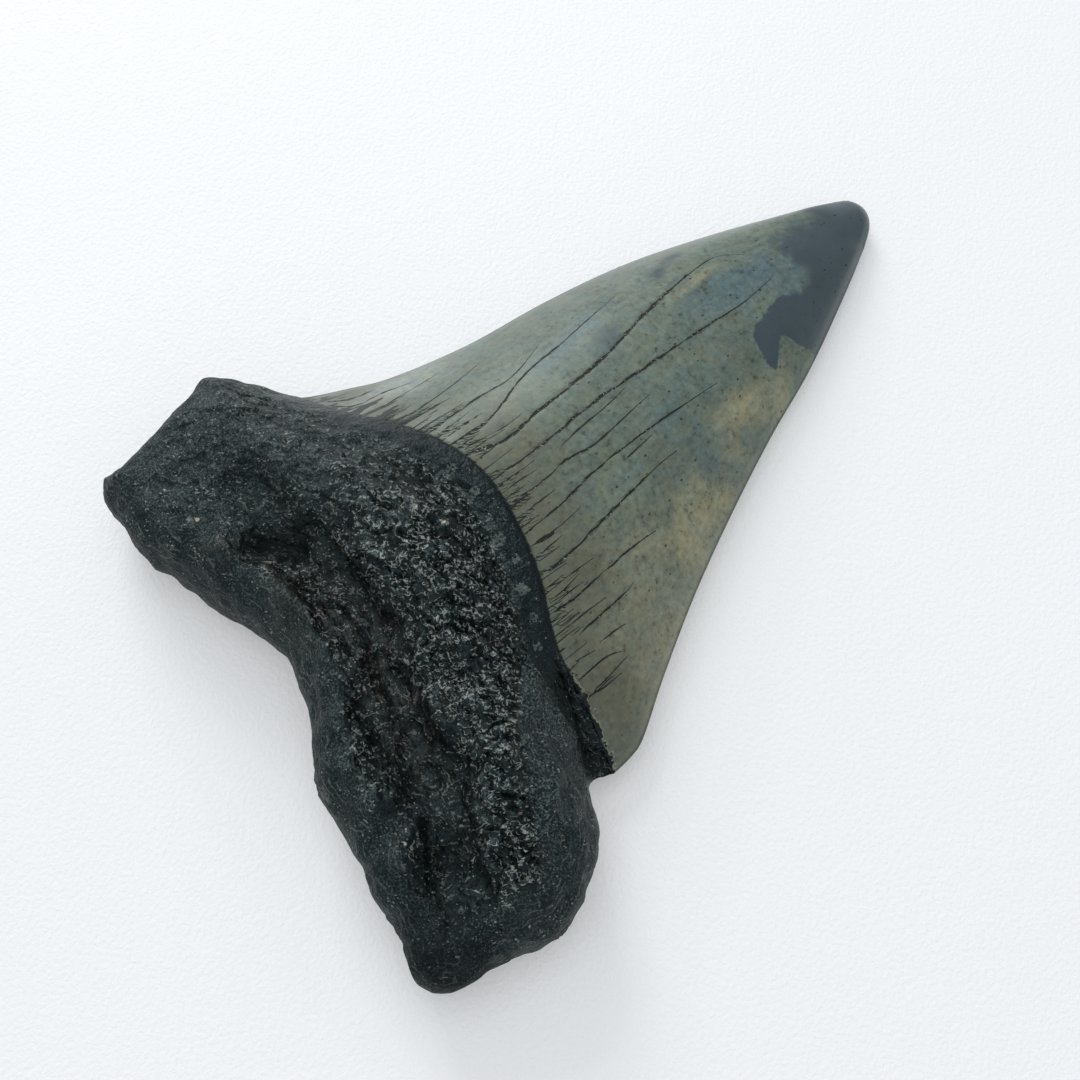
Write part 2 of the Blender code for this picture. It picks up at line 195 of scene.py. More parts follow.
# Relief of the root that is finer than the solid's: overlapping chips, each highest at its lip,
# craters with raised rims, worm-like ridges, grains, and level lines and dents on the smooth parts
CHIP_SIZE, CHIP_HEIGHT = 1.9, 0.45
CHIP_BEND_SIZE, CHIP_BEND = 2.6, 1.1
BEND_STARTS = [Vector((0.0, 0.0, z)) for z in (9.0, 23.0, 37.0)]
LIP_SIDE = Vector((0.64, -0.77, 0.0))         # side on which a chip stands highest
LIP_WIDTH = 0.15                              # as a share of a chip's size
SCATTER = 3.7                # turns the place of a chip or crater into its own chance
CRATER_SPACING, CRATER_DEPTH = 1.6, 0.26
CRATER_BOWL, CRATER_RIM, CRATER_RIM_WIDTH = 0.36, 0.42, 0.1      # as shares of the spacing
WORM_SIZE, WORM_HEIGHT = 1.05, 0.14
GRAIN_SIZE, GRAIN_HEIGHT = 0.8, 0.12
GROWTH_LINE_SIZE, GROWTH_LINE_HEIGHT, GROWTH_LINE_STRETCH = 1.3, 0.05, 3.5
DENT_SIZE, DENT_HEIGHT = 1.9, 0.32
DULL_CRUST = 0.2             # share of the crust's height where it has no glints
CRUST_SINK = 0.24            # keeps the tops of the crust near the solid's height
CHIPPED_STRIP = [14, 17, 24], [0.5, 0.8, 1.9]      # places across the root, and its width there
LABIAL_COARSENESS, LABIAL_GLINT = 0.35, 0.3

LAYERED_BONE = [(-9.0, -33.6), (-5.0, -32.4), (-1.5, -31.2)]     # bone that splits into layers

# Pale sand grains and encrusted spots on the root: place and radius
SAND_GRAINS = [
    ((-17.3, -37.9), 0.24), ((-10.1, -34.3), 0.22), ((-19.4, -26.0), 0.2), ((-1.3, -19.4), 0.26),
    ((21.3, -39.2), 0.22),
]
ENCRUSTED_SPOTS = [
    ((-6.9, -14.9), 0.6), ((-3.4, -14.6), 0.7), ((-0.3, -15.1), 0.6), ((2.3, -15.6), 0.8),
    ((4.6, -15.4), 0.6), ((7.5, -16.6), 0.7), ((10.1, -17.2), 0.6), ((12.6, -18.5), 0.6),
]

# Short cracks that crowd along the enamel line, between two shares of its length
FINE_CRACKS = 46
FINE_CRACK_SPAN = 0.2, 0.84
FINE_CRACK_LENGTH = 3.4


def smooth_curve(points, samples=100):
    """Catmull-Rom curve through the points, sampled at even steps of length."""
    knots = np.array(points, float)
    ends = np.vstack([2 * knots[0] - knots[1], knots, 2 * knots[-1] - knots[-2]])
    steps = np.linspace(0, 1, 24, endpoint=False)[:, None]
    pieces = []
    for a, b, c, d in zip(ends[:-3], ends[1:-2], ends[2:-1], ends[3:]):
        pieces.append(0.5 * (2 * b + (c - a) * steps + (2 * a - 5 * b + 4 * c - d) * steps ** 2
                             + (3 * b - a - 3 * c + d) * steps ** 3))
    path = np.vstack(pieces + [knots[-1:]])
    length = np.concatenate([[0], np.cumsum(np.linalg.norm(np.diff(path, axis=0), axis=1))])
    even = np.linspace(0, length[-1], samples + 1)
    return np.stack([np.interp(even, length, path[:, axis]) for axis in (0, 1)], axis=1)


def at(path, share):
    """Points at the given shares of a path's length."""
    place = np.asarray(share) * (len(path) - 1)
    index = np.arange(len(path))
    return np.stack([np.interp(place, index, path[:, axis]) for axis in (0, 1)], axis=-1)


def nearest(plan, path):
    """Signed distance to a path, positive on its left, and the share along it, for each point."""
    best = np.full(len(plan), np.inf)
    side = np.ones(len(plan))
    share = np.zeros(len(plan))
    for index, (origin, step) in enumerate(zip(path[:-1], np.diff(path, axis=0))):
        offset = plan - origin
        along = np.clip(offset @ step / (step @ step), 0, 1)
        gap = np.hypot(*(offset - along[:, None] * step).T)
        closer = gap < best
        best[closer] = gap[closer]
        share[closer] = (index + along[closer]) / (len(path) - 1)
        turn = step[0] * offset[:, 1] - step[1] * offset[:, 0]
        side[closer] = np.where(turn[closer] < 0, -1, 1)
    return best * side, share


def distance(plan, path):
    """The signed distance alone."""
    return nearest(plan, path)[0]


def smoothstep(value, low, high):
    share = np.clip((value - low) / (high - low), 0, 1)
    return share * share * (3 - 2 * share)


def rounded(share, fullness):
    """Profile of a rounded edge: 0 at the edge, 1 from one radius in."""
    inward = 1 - np.clip(share, 0, 1)
    return (1 - inward ** fullness) ** (1 / fullness)


def patch(bottom, top, left, right, shares_across, shares_up):
    """Coons patch of plan points between four paths, one row for each share up."""
    across = shares_across[None, :, None]
    up = shares_up[:, None, None]
    low, high = at(bottom, shares_across)[None], at(top, shares_across)[None]
    near_side, far_side = at(left, shares_up)[:, None], at(right, shares_up)[:, None]
    corners = ((1 - up) * ((1 - across) * bottom[0] + across * bottom[-1])
               + up * ((1 - across) * top[0] + across * top[-1]))
    return (1 - up) * low + up * high + (1 - across) * near_side + across * far_side - corners


def edge_height(y):
    """Height of the outline above the rest plane."""
    crown = np.interp(y, [-20, HALF_HEIGHT], [FOOT_EDGE_HEIGHT, TIP_EDGE_HEIGHT])
    return crown + (ROOT_EDGE_HEIGHT - crown) * smoothstep(-y, 19.0, 26.0)


def crown_crest(y):
    """Height of the lingual face along the middle of the crown."""
    return NECK_THICKNESS * np.interp(
        y, [-20, -12, 0, 10, 20, 30, 38, HALF_HEIGHT], [1.03, 1.0, 0.9, 0.79, 0.66, 0.5, 0.36, 0.25])


def near(plan, points, reach):
    """1 on the line through the points, falling off to 0 beyond the reach to each side."""
    return np.exp(-(distance(plan, smooth_curve(points)) / reach) ** 2)


def mound(plan, place, radius):
    """1 at a place, falling off to 0 beyond the radius."""
    away = np.linalg.norm(plan - np.array(place), axis=-1)
    return np.exp(-(away / radius) ** 2)


def ledge(plan, points, height, rise, reach):
    """A step up to the left of the line through the points, which fades out beyond its reach."""
    away = distance(plan, smooth_curve(points))
    return height * np.clip(away / rise, -1, 1) * np.exp(-(away / reach) ** 2)


def plateau(plan):
    """Height of the lingual face of the root, before its sides are rounded off."""
    x = plan[:, 0]
    height = VALLEY_THICKNESS - (VALLEY_THICKNESS - LOBE_THICKNESS) * (x / HALF_WIDTH) ** 2
    swell = np.interp(x, [-31, -14, 1, 17, 31], [0.30, 0.66, 1.0, 0.74, 0.30])
    crest = distance(plan, smooth_curve(BULGE_CREST))
    reach = np.where(crest > 0, 8.0, 5.6)
    height += (ROOT_THICKNESS - VALLEY_THICKNESS) * swell * np.exp(-(crest / reach) ** 2)
    height -= 1.4 * near(plan, VALLEY_FLOOR, 2.3)
    height += ledge(plan, SCARP_EDGE, 0.6, 0.8, 3.0)
    height += ledge(plan, UPPER_LEDGE, 0.3, 0.7, 1.8)
    height -= ledge(plan, SHOULDER_EDGE, 0.3, 0.8, 2.4)
    height -= 1.9 * near(plan, HOLLOW_SLIT, 1.5)
    for place, radius in RIM_LUMPS:
        height += RIM_LUMP_HEIGHT * mound(plan, place, radius)
    return height


def crown_arch(across):
    """Lens section of the lingual face of the crown: 0 at the cutting edges, 1 in the middle."""
    return 1 - np.abs(across) ** 2.2


def crown_heel(across):
    """Section of the labial face of the crown: 1 at the cutting edges, 0 in the middle."""
    return np.abs(across) ** 1.8


def lingual_face(root, crown, across, outline, tip):
    """Heights of the lingual face over the root and crown grids, and its fields over the root."""
    x, y = root.T
    low = edge_height(y)
    radius = np.interp(x, [-HALF_WIDTH, -20, 0, 20, HALF_WIDTH], [8.0, 6.0, 4.6, 5.4, 7.0])
    inward = np.abs(distance(root, outline))
    side = rounded(inward / radius, 2.6)
    behind = np.abs(distance(root, smooth_curve(LINGUAL_ENAMEL_LINE)))
    step = ENAMEL_STEP * smoothstep(behind, 0.0, 0.5) * side
    neck = low + (crown_crest(y) - low) * crown_arch(across[:len(root)]) + step
    face = low + (plateau(root) - low) * side
    root_height = neck + (face - neck) * smoothstep(behind, 0.0, 10.0)
    root_height -= 0.9 * near(root, FOOT_CHIP, 1.3) * side
    smooth_lobe = np.interp(x, [-26, -12, -4], [0.35, 0.6, 1.0])
    rough = smooth_lobe * smoothstep(behind, 0.6, 3.4) * (0.45 + 0.55 * smoothstep(inward, 1.0, 4.0))

    low = edge_height(crown[:, 1])
    nose = rounded(np.abs(distance(crown, tip)) / TIP_RADIUS, 2.0)
    arch = crown_arch(across[:len(crown)])
    crown_height = low + (crown_crest(crown[:, 1]) - low) * arch * nose
    return root_height, crown_height, rough, behind, inward


def labial_face(root, crown, across, outline, tip):
    """Heights of the labial face over the root and crown grids, and its fields over the root."""
    x, y = root.T
    low = edge_height(y)
    inward = np.abs(distance(root, outline))
    side = rounded(inward / 5.0, 2.2)
    hollow = 2 * LABIAL_CLEARANCE + 1.1 * np.exp(-((x / 15) ** 2 + ((y + 33) / 9) ** 2))
    behind = np.abs(distance(root, smooth_curve(LABIAL_ENAMEL_LINE)))
    heel = LABIAL_CLEARANCE + (low - LABIAL_CLEARANCE) * crown_heel(across[:len(root)])
    root_height = heel + (low + (hollow - low) * side - heel) * smoothstep(behind, 0.0, 7.0)
    rough = 0.5 * smoothstep(behind, 0.3, 3.0)

    low = edge_height(crown[:, 1])
    nose = rounded(np.abs(distance(crown, tip)) / TIP_RADIUS, 2.0)
    heel = 1 - (1 - crown_heel(across[:len(crown)])) * nose
    crown_height = LABIAL_CLEARANCE + (low - LABIAL_CLEARANCE) * heel
    return root_height, crown_height, rough, behind, inward


def lumps(point):
    """Rough relief of the root at a point, along its surface normal."""
    coarse = COARSE_LUMP_HEIGHT * noise.noise(point / COARSE_LUMP_SIZE)
    fine = FINE_LUMP_HEIGHT * noise.noise(point / FINE_LUMP_SIZE)
    pits = PIT_DEPTH * (abs(noise.noise(point / PIT_SPACING)) - 0.25)
    return coarse + fine - pits


def crust(point):
    """Fine relief of the root's coarse parts, and how far the point is on a lip or a rim."""
    bend = [noise.noise(point / CHIP_BEND_SIZE + start) for start in BEND_STARTS]
    bent = point + CHIP_BEND * Vector(bend)
    gaps, cells = noise.voronoi(bent / CHIP_SIZE)
    towards_lip = (bent / CHIP_SIZE - cells[0]).dot(LIP_SIDE)
    chip = CHIP_HEIGHT * (1.1 * towards_lip + 0.5 * noise.noise(cells[0] * SCATTER))
    lip = math.exp(-((gaps[1] - gaps[0]) / LIP_WIDTH) ** 2) * min(max(4 * towards_lip, 0.0), 1.0)

    gaps, cells = noise.voronoi(point / CRATER_SPACING)
    deep = 0.5 + 0.5 * noise.noise(cells[0] * SCATTER)
    bowl = max(0.0, 1 - (gaps[0] / CRATER_BOWL) ** 2)
    rim = math.exp(-((gaps[0] - CRATER_RIM) / CRATER_RIM_WIDTH) ** 2)
    crater = CRATER_DEPTH * deep * (0.5 * rim - bowl)
    worm = WORM_HEIGHT * (1 - 4 * abs(noise.noise(point / WORM_SIZE)))
    height = chip + crater + worm + GRAIN_HEIGHT * noise.noise(point / GRAIN_SIZE)
    return height, max(lip, 0.8 * deep * rim)


def growth_lines(point):
    """Fine relief of the root's smooth parts: low level lines, and dents."""
    flat = Vector((point.x, point.y, GROWTH_LINE_STRETCH * point.z)) / GROWTH_LINE_STRETCH
    line = GROWTH_LINE_HEIGHT * noise.noise(flat / GROWTH_LINE_SIZE)
    return line + 0.5 * GRAIN_HEIGHT * noise.noise(point) + DENT_HEIGHT * noise.noise(point / DENT_SIZE)


def grid_normals(grid):
    """Unit normals of a grid of points, facing the side from which its columns run rightwards."""
    along = np.gradient(grid, axis=0)
    across = np.gradient(grid, axis=1)
    normals = np.cross(across, along)
    return normals / np.maximum(np.linalg.norm(normals, axis=2, keepdims=True), 1e-9)


def over_rows(function, grid):
    """A function of a point, taken at each point of a grid."""
    return np.array([[function(Vector(point)) for point in row] for row in grid])


def face_grid(enamel_line, shape, stride):
    """One face of the tooth as a grid of points, with its fields at each of them."""
    even = np.linspace(0, 1, COLUMNS // stride + 1)
    shares_across = even - 0.3 * np.sin(2 * np.pi * even) / (2 * np.pi)
    even = np.linspace(0, 1, ROOT_ROWS // stride + 1)
    root_shares = even - 0.25 * np.sin(np.pi * even) / np.pi
    crown_shares = np.linspace(0, 1, CROWN_ROWS // stride + 1)
    basal, left, right, crown_left, crown_right, tip, line = (smooth_curve(p, 400) for p in (
        BASAL_EDGE, ROOT_LEFT_SIDE, ROOT_RIGHT_SIDE, CROWN_LEFT_EDGE, CROWN_RIGHT_EDGE, TIP_ARC,
        enamel_line))
    outline = np.vstack([left[::-1], basal[1:], right[1:]])[::5]

    width = len(shares_across)
    across = np.tile(2 * shares_across - 1, max(len(root_shares), len(crown_shares)))
    root = patch(basal, line, left, right, shares_across, root_shares).reshape(-1, 2)
    crown = patch(line, tip, crown_left, crown_right, shares_across, crown_shares).reshape(-1, 2)
    root_height, crown_height, rough, behind, inward = shape(root, crown, across, outline, tip[::20])
    # The crown's first row is the root's last
    plan = np.vstack([root, crown[width:]])
    height = np.concatenate([root_height, crown_height[width:]])
    enamel = np.concatenate([-behind, distance(crown[width:], line[::4])])
    ends = [np.abs(distance(crown[width:], edge[::10])) for edge in (crown_left, crown_right, tip)]
    inward = np.concatenate([inward, np.min(ends, axis=0)])
    rough = np.concatenate([rough, np.zeros(len(crown) - width)])
    points = np.column_stack([plan, height]).reshape(-1, width, 3)
    return points, *(field.reshape(-1, width) for field in (rough, enamel, inward))


def fine_cracks():
    """Short cracks from the enamel line towards the tip, each as its half width and its points."""
    line = smooth_curve(LINGUAL_ENAMEL_LINE)
    cracks = []
    for index in range(FINE_CRACKS):
        chances = [noise.noise((1.37 * index, row + 0.5, 4.3)) for row in range(4)]
        share = np.interp(index + 0.9 * chances[0], [0, FINE_CRACKS], FINE_CRACK_SPAN)
        start = at(line, share)
        length = FINE_CRACK_LENGTH * (1 + 1.6 * chances[1])
        lean = 0.08 * chances[2] - 0.1
        middle = start + 0.5 * length * np.array([lean, 1])
        end = start + length * np.array([lean + 0.06 * chances[3], 1])
        cracks.append((0.05, [start, middle, end]))
    return cracks


def crack_fields(plan):
    """For each plan point: signed distance to its nearest crack, and that crack's half width."""
    gap = np.full(len(plan), FAR)
    half_width = np.zeros(len(plan))
    for widest, points in CRACKS + fine_cracks():
        path = smooth_curve(points, 10 * len(points))
        low, high = path.min(axis=0) - 2, path.max(axis=0) + 2
        close = np.flatnonzero(np.all((plan > low) & (plan < high), axis=1))
        away, share = nearest(plan[close], path)
        nearer = np.abs(away) < np.abs(gap[close])
        gap[close[nearer]] = away[nearer]
        half_width[close[nearer]] = widest * np.clip((1 - share[nearer]) / CRACK_TAPER, 0, 1)
    return gap, half_width


def root_zones(plan):
    """How much each plan point of the root glints, how brown it is, and how much shade is painted on
    it.
    """
    x, y = plan.T
    scarp = distance(plan, smooth_curve(SCARP_EDGE))
    valley = near(plan, VALLEY_FLOOR, 2.6)
    bulge = smoothstep(scarp, -1.0, 1.2) * (0.64 + 0.36 * smoothstep(x, -13.0, 2.0))
    lumpy = np.max([mound(plan, place, 1.3 * radius) for place, radius in RIM_LUMPS], axis=0)
    layered = near(plan, LAYERED_BONE, 2.2)
    glint = np.max([bulge, 0.85 * lumpy, 0.8 * layered], axis=0)
    glint = np.maximum(glint, 0.45 - 0.15 * smoothstep(x, 8.0, 20.0))
    glint *= 1 - 0.5 * smoothstep(x, 28.5, 32.0)
    brown = valley * smoothstep(x, -9.0, -4.0) * (1 - smoothstep(x, 12.0, 20.0))
    brown = np.max([0.8 * brown, 0.7 * lumpy * smoothstep(-x, -4.0, 2.0), 0.7 * layered], axis=0)
    # Painted shade in the hollow and its slit, the valley, the chipped groove and the lobe's end
    hollow = near(plan, HOLLOW_SLIT, 1.5)
    slit = near(plan, HOLLOW_SLIT, 0.28)
    chip = near(plan, FOOT_CHIP, 1.0) * smoothstep(x, 15.0, 21.0)
    end = smoothstep(x, 24.0, 28.5) * smoothstep(-y, 36.0, 39.5)
    painted_shade = np.max([0.9 * hollow, slit, 0.45 * chip, 0.55 * end, 0.3 * valley], axis=0)
    return glint, brown, painted_shade


def spots(plan):
    """How pale each plan point of the root is: 1 on a sand grain, less on an encrusted spot."""
    pale = np.zeros(len(plan))
    for strength, marks in ((1.0, SAND_GRAINS), (0.5, ENCRUSTED_SPOTS)):
        for place, radius in marks:
            away = np.hypot(*(plan - place).T)
            pale = np.maximum(pale, strength * smoothstep(-away, -1.3 * radius, -0.7 * radius))
    return pale


def coarseness(x, enamel, inward, shoulder):
    """How coarse the root is: smooth beside the enamel, along its sides and down its shoulder."""
    coarse = smoothstep(-enamel, 2.0, 3.6) * smoothstep(inward, 2.0, 4.5)
    coarse *= 0.6 + 0.4 * smoothstep(x, -18.0, -4.0)
    coarse *= 1 - 0.8 * smoothstep(shoulder, -0.3, 0.9)
    # A chipped strip runs along the right foot of the enamel
    width = np.interp(x, *CHIPPED_STRIP)
    strip = smoothstep(-enamel, 0.1, 0.3) * (1 - smoothstep(-enamel, width, width + 0.4))
    return np.maximum(coarse, 0.8 * strip * smoothstep(x, 13.0, 15.0))


def lingual_side():
    """The lingual face as a grid of points, and what its materials need to know at each."""
    grid, rough, enamel, inward = face_grid(LINGUAL_ENAMEL_LINE, lingual_face, 1)
    grid += (rough * over_rows(lumps, grid))[..., None] * grid_normals(grid)
    plan = grid[..., :2].reshape(-1, 2)
    fields = [*root_zones(plan), spots(plan), *crack_fields(plan),
              distance(plan, smooth_curve(SHOULDER_EDGE))]
    glint, brown, painted_shade, pale, crack, crack_width, shoulder = (
        field.reshape(rough.shape) for field in fields)
    coarse = coarseness(grid[..., 0], enamel, inward, shoulder)
    smooth = smoothstep(-enamel, 1.2, 4.0) * (1 - coarse)

    root = slice(0, ROOT_ROWS)
    relief, rim = np.zeros(rough.shape), np.zeros(rough.shape)
    crust_height, rim[root] = np.moveaxis(over_rows(crust, grid[root]), 2, 0)
    crust_height = crust_height * (DULL_CRUST + (1 - DULL_CRUST) * glint[root]) - CRUST_SINK
    relief[root] = coarse[root] * crust_height + smooth[root] * over_rows(growth_lines, grid[root])
    groove = CRACK_GROOVE * np.exp(-(crack / GROOVE_REACH) ** 2) * crack_width / WIDEST_CRACK
    grid += (relief - groove)[..., None] * grid_normals(grid)
    return grid, {
        "enamel": enamel, "coarse": coarse, "relief": relief, "rim": rim, "glint": glint,
        "brown": brown, "painted_shade": painted_shade, "pale": pale, "inward": inward, "crack": crack,
        "crack_gap": np.abs(crack), "crack_width": crack_width,
    }


def labial_side():
    """The labial face in the same way. A field that it leaves out is 0 all over it."""
    grid, rough, enamel, inward = face_grid(LABIAL_ENAMEL_LINE, labial_face, STRIDE)
    grid -= (rough * over_rows(lumps, grid))[..., None] * grid_normals(grid)
    for middle, radius in REST_FLATS:
        grid[..., 2] -= FLAT_DEPTH * mound(grid[..., :2], middle, radius)
    grid[..., 2] = np.maximum(grid[..., 2], 0.0)
    return grid, {
        "enamel": enamel, "coarse": LABIAL_COARSENESS * smoothstep(-enamel, 1.0, 3.0),
        "glint": np.full(enamel.shape, LABIAL_GLINT), "inward": inward,
        "crack": np.full(enamel.shape, FAR), "crack_gap": np.full(enamel.shape, FAR),
    }


def add(name, data):
    """A new object in the scene."""
    item = bpy.data.objects.new(name, data)
    bpy.context.scene.collection.objects.link(item)
    return item


def make_tooth():
    """The tooth as one closed mesh: a fine lingual and a coarser labial grid that share the outline."""
    lingual, fields = lingual_side()
    labial, labial_fields = labial_side()
    rows, width = lingual.shape[:2]
    inside = (slice(1, -1), slice(1, -1))

    # Number the points: the labial grid's outline points are the lingual grid's own
    number = np.arange(rows * width).reshape(rows, width)
    labial_number = number[::STRIDE, ::STRIDE].copy()
    inner = labial_number[inside]
    inner[:] = rows * width + np.arange(inner.size).reshape(inner.shape)
    faces = quads(number) + [face[::-1] for face in quads(inner)] + rim_faces(number, labial_number)
    inner_row = STRIDE * np.arange(1, len(inner) + 1)
    row = np.concatenate([np.arange(rows).repeat(width), inner_row.repeat(inner.shape[1])])
    on_crown = [row[face].min() >= ROOT_ROWS for face in faces]

    points = np.vstack([lingual.reshape(-1, 3), labial[inside].reshape(-1, 3)])
    plan = points[:, :2].copy()
    lowest, highest = (np.array(corner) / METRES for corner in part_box("tooth"))
    middle = (points.min(axis=0) + points.max(axis=0)) / 2
    points[:, :2] += ((lowest + highest) / 2 - middle)[:2]
    mesh = bpy.data.meshes.new("tooth_surface")
    mesh.from_pydata(points * METRES, [], faces)
    mesh.shade_smooth()
    mesh.polygons.foreach_set("material_index", np.array(on_crown, np.int32))

    none = np.zeros(labial.shape[:2])
    values = {"slate": distance(plan, smooth_curve(SLATE_BORDER))}
    for name, field in fields.items():
        labial_field = labial_fields.get(name, none)[inside]
        values[name] = np.concatenate([field.ravel(), labial_field.ravel()])
    for name, value in values.items():
        mesh.attributes.new(name, "FLOAT", "POINT").data.foreach_set("value", value)
    colour = np.column_stack([stain_and_sheen(plan), np.ones(len(plan))])
    mesh.attributes.new("stain_and_sheen", "FLOAT_COLOR", "POINT").data.foreach_set("color", colour.ravel())
    return add("tooth_fossil", mesh)


def quads(number):
    """Faces between the points of a numbered grid."""
    corners = (number[:-1, :-1], number[:-1, 1:], number[1:, 1:], number[1:, :-1])
    return np.stack([corner.ravel() for corner in corners], axis=1).tolist()


def rim_faces(number, labial_number):
    """Labial faces along the outline, which take in the finer lingual points of it."""
    faces = []
    rows, columns = labial_number.shape
    for r in range(rows - 1):
        for c in range(columns - 1):
            if 0 < r < rows - 2 and 0 < c < columns - 2:
                continue
            fine_r, fine_c = STRIDE * r, STRIDE * c
            corners = [
                (True, labial_number[r, c]), (r == 0, number[0, fine_c + 1]),
                (True, labial_number[r, c + 1]), (c == columns - 2, number[fine_r + 1, -1]),
                (True, labial_number[r + 1, c + 1]), (r == rows - 2, number[-1, fine_c + 1]),
                (True, labial_number[r + 1, c]), (c == 0, number[fine_r + 1, 0]),
            ]
            faces.append([int(corner) for taken, corner in corners[::-1] if taken])
    return faces


# ------------ colours

def linear(red, green, blue):
    """A display colour, 0 to 255, as linear light."""
    shares = (c / 255 for c in (red, green, blue))
    return tuple(s / 12.92 if s <= 0.04045 else ((s + 0.055) / 1.055) ** 2.4 for s in shares)


GREY = linear(94, 105, 96)
TAUPE = linear(87, 88, 74)
OLIVE = linear(127, 128, 109)
OCHRE = linear(139, 138, 113)
TAN = linear(132, 133, 110)
# Painted sheen on the enamel
PAINTED_SHEEN = linear(136, 143, 136)
BLUE = linear(80, 100, 106)
SLATE = linear(59, 72, 79)
# Crack brown, also the painted shade along the cutting edges
CRACK_BROWN_AND_EDGE_SHADE = linear(46, 44, 38)
CRACK_BLACK = linear(4, 8, 5)
# Pale crack specks, also the painted highlight inside the cutting edges
CRACK_PALE_AND_EDGE_HIGHLIGHT = linear(176, 182, 172)
ROOT_BLACK = linear(4, 10, 12)
ROOT_GREY = linear(20, 33, 35)
ROOT_BROWN = linear(54, 48, 40)
# Painted highlight for the root's rims and glints
ROOT_PAINTED_GLINT = linear(150, 156, 150)
# Pale speckle, partly the bone's grain and partly a painted sheen
ROOT_SPECKLE_AND_SHEEN = linear(84, 95, 96)
GRAIN_PALE = linear(158, 152, 138)
SPOT_GREY = linear(96, 104, 100)
# Pure black, laid on only as painted shade and painted shadow
BLACK = (0.0, 0.0, 0.0)
ROOT_SPECULAR, ENAMEL_SPECULAR = 0.26, 0.35
ROOT_TINT = (0.70, 0.95, 1.0)
ENAMEL_TINT = (0.88, 1.0, 0.92)

# Sizes of the markings, in millimetres. Some of the crown's are longer than wide, by these many
# times, and lean from +Y by this many degrees
ROOT_CLOUD, ROOT_DRIFT, ROOT_LEATHER, ROOT_CRUMB = 2.6, 1 / 1.3, 0.9, 0.30
SMALL_CHIP, SMALL_PIT, BED_THICKNESS, GLINT_DOT = 0.85, 0.9, 0.8, 0.5
ENAMEL_CLOUD, ENAMEL_MOTTLE, ENAMEL_DOT = 4.5, 0.7, 0.75
CROWN_TURN = 8.0
MARK_LENGTHS = (1.6, 3.0, 7.0, 14.0)

# The white table glows faintly, a painted light that lifts the shadows on it
FLOOR_SIZE = 3.0             # metres
FLOOR_GREY, FLOOR_WHITE = linear(202, 204, 207), linear(206, 208, 210)
FLOOR_GLOW, FLOOR_GLOW_TINT = 0.28, (0.98, 0.99, 1.0)

# The room's light, and soft boxes: metres to the right of the tooth in the picture, up from it and
# above it, width in metres, power in watts
ROOM_GLOW, ROOM_TINT = 0.56, (0.96, 0.98, 1.0)
SOFT_BOXES = [
    ("window", -0.3, 0.75, 0.5, 0.42, 4.2),
    ("low_window", -0.36, 0.9, 0.24, 0.3, 0.9),
    ("ceiling", -0.1, 0.0, 1.2, 1.0, 4.0),
]

# Camera: the turn is from the tooth's +X to the picture's right
VIEW_TURN, VIEW_ELEVATION = math.radians(54.34), math.radians(65.0)
VIEW_TARGET, VIEW_DISTANCE = (0.11, -9.94, 4.0), 168.3       # millimetres
LENS, SENSOR = 55.0, 36.0                                    # millimetres
NEAREST_SEEN, FARTHEST_SEEN = 0.01, 10.0                     # metres

# Stains in the enamel, and a painted sheen: middle, half lengths along and across, turn of the long
# side from +Y in degrees anticlockwise, colour, strength
STAINS_AND_SHEEN = [
    ((16.0, -8.0), (12.0, 7.0), 38, OLIVE, 0.8),
    ((9.0, 4.5), (6.0, 2.2), 28, OCHRE, 0.85),
    ((2.9, 13.6), (4.2, 2.0), 24, OCHRE, 0.85),
    ((1.5, 19.0), (5.0, 1.6), 27, OCHRE, 0.6),
    ((-7.0, -8.0), (5.0, 7.0), 0, TAUPE, 0.6),
    ((6.5, -11.0), (4.0, 9.0), 0, TAUPE, 0.7),
    ((-14.0, 5.0), (5.5, 2.0), 12, BLUE, 0.75),
    ((-11.9, 8.0), (2.6, 1.1), 18, SLATE, 0.75),
    ((19.0, -14.0), (4.0, 6.0), 20, TAUPE, 0.6),
    ((-10.2, 24.5), (6.5, 3.0), 12, BLUE, 0.85),
    ((-17.7, 20.9), (1.3, 1.0), 20, SLATE, 0.95),
    ((-16.3, 18.2), (1.1, 0.9), 0, SLATE, 0.95),
    ((-7.0, 30.0), (4.0, 2.2), 20, BLUE, 0.8),
    ((4.5, 9.5), (4.0, 2.0), 15, BLUE, 0.45),
    ((-1.5, 8.0), (6.0, 3.0), 12, BLUE, 0.25),
    ((-12.9, 20.6), (3.6, 0.6), 12, TAN, 0.7),
    # Painted sheen where the crown's left foot catches the light
    ((-21.5, -13.0), (8.0, 2.4), 4, PAINTED_SHEEN, 0.8),
]
# Left border of the slate-coloured tip, from the left edge of the crown to the right
SLATE_BORDER = [
    (-17.6, 39.6), (-15.2, 38.4), (-13.8, 35.7), (-13.4, 32.3), (-11.8, 31.0), (-9.3, 31.8),
    (-7.0, 31.1), (-6.3, 29.6), (-6.2, 26.5), (-5.1, 23.4), (-3.5, 21.2), (-2.0, 21.0),
    (-0.4, 21.5), (-1.7, 23.6), (-2.8, 24.2), (-2.6, 25.3), (-1.7, 25.7), (-0.8, 26.9), (1.4, 28.0),
]


def stain_and_sheen(plan):
    """The enamel's broad colour at each plan point, with a painted sheen at the crown's left foot."""
    warp = np.array([(noise.noise((x / 4, y / 6, 3.0)), noise.noise((x / 4, y / 6, 7.0)))
                     for x, y in plan])
    colour = np.tile(GREY, (len(plan), 1))
    for middle, (along, across), turn, tint, strength in STAINS_AND_SHEEN:
        angle = math.radians(turn)
        axis = np.array([-math.sin(angle), math.cos(angle)])
        side = np.array([math.cos(angle), math.sin(angle)])
        offset = plan + min(across, 2.0) * warp - middle
        reach = (offset @ axis / along) ** 2 + (offset @ side / across) ** 2
        share = (strength * np.exp(-reach ** 1.5))[:, None]
        colour = colour * (1 - share) + np.array(tint) * share
    return colour


# ------------ materials

